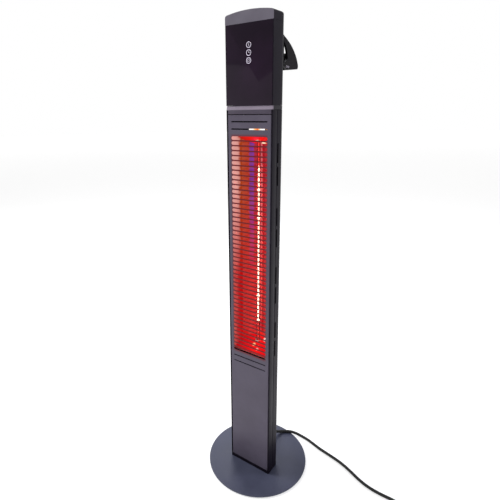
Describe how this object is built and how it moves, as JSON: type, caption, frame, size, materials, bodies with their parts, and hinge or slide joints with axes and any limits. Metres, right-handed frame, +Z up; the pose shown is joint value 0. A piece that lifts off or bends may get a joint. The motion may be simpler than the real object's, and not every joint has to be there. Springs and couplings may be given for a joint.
{
  "type": "outdoor heater",
  "caption": "Free-standing slim tower patio heater: a slotted front over an upright infrared lamp, a touch glass head, a rear carry handle and a round steel base.",
  "frame": {"origin": "Centre of the round base, at the level of the floor under its rubber pads.", "axes": "+Z up along the column, -Y out of the slotted front, +X to the right of someone who looks at the front."},
  "size_m": [0.657, 0.2939, 1.2265],
  "materials": {
    "black_coat": "satin black powder coat",
    "graphite_coat": "satin graphite grey paint",
    "base_coat": "satin slate grey powder coat",
    "cap_coat": "satin grey paint",
    "dark_glass": "dark tinted, back printed, polished",
    "black_plastic": "fine moulded texture",
    "wire_sleeve": "glass-fibre sleeve, matt",
    "mirror_aluminium": "bright rolled, mirror polished",
    "plain_steel": "zinc plated, satin",
    "ruby_quartz": "ruby tinted quartz, polished",
    "glowing_filament": "glowing tungsten coil",
    "white_ceramic": "unglazed, matt",
    "circuit_board": "green solder mask",
    "blue_plastic": "moulded",
    "brass": "turned",
    "black_rubber": "matt black rubber"
  },
  "bodies": {
    "heater_body": {"foot_plinth": "black_coat", "rail_left": "black_coat", "rail_right": "black_coat", "rear_shell": "black_coat", "head_housing": "black_coat", "front_panel": "graphite_coat", "head_band": "graphite_coat", "base_disc": "base_coat", "top_cap": "cap_coat", "glass_panel": "dark_glass", "carry_handle": "black_plastic", "thermal_cutout": "black_plastic", "power_module": "black_plastic", "tilt_switch_case": "black_plastic", "switch_body": "black_plastic", "gland_body": "black_plastic", "wire_supply": "wire_sleeve", "wire_lamp_bottom": "wire_sleeve", "wire_lamp_top": "wire_sleeve", "reflector": "mirror_aluminium", "reflector_end_top": "mirror_aluminium", "reflector_end_bottom": "mirror_aluminium", "base_bolt_1": "plain_steel", "base_bolt_2": "plain_steel", "base_bolt_3": "plain_steel", "base_bolt_4": "plain_steel", "foot_bracket": "plain_steel", "shell_screw_1": "plain_steel", "shell_screw_2": "plain_steel", "shell_screw_3": "plain_steel", "shell_screw_4": "plain_steel", "handle_screw_1": "plain_steel", "handle_screw_2": "plain_steel", "handle_screw_3": "plain_steel", "handle_screw_4": "plain_steel", "bracket_top": "plain_steel", "bracket_bottom": "plain_steel", "heat_shield": "plain_steel", "board_carrier": "plain_steel", "service_plate": "plain_steel", "lamp_tube": "ruby_quartz", "lamp_filament": "glowing_filament", "lamp_holder_top": "white_ceramic", "lamp_holder_bottom": "white_ceramic", "terminal_block": "white_ceramic", "touch_board": "circuit_board", "power_board": "circuit_board", "relay": "blue_plastic", "foot_pad_1": "black_rubber", "foot_pad_2": "black_rubber", "foot_pad_3": "black_rubber", "foot_pad_4": "black_rubber", "foot_pad_5": "black_rubber", "strain_relief": "black_rubber", "power_cord": "black_rubber", "cord_coil": "black_rubber", "plug": "black_rubber"},
    "rocker": {"switch_rocker": "black_plastic"},
    "pendulum": {"tilt_pendulum": "brass"}
  },
  "joints": [
    {"name": "switch_rock", "type": "hinge", "parent": "heater_body", "child": "rocker", "pos_m": [0, 0.0135, 0.0995], "axis": [-1, 0, 0], "range_deg": [0, 16]},
    {"name": "tilt_swing", "type": "hinge", "parent": "heater_body", "child": "pendulum", "pos_m": [-0.024, -0.0199, 0.1026], "axis": [0, 1, 0], "range_deg": [-15, 15]}
  ]
}
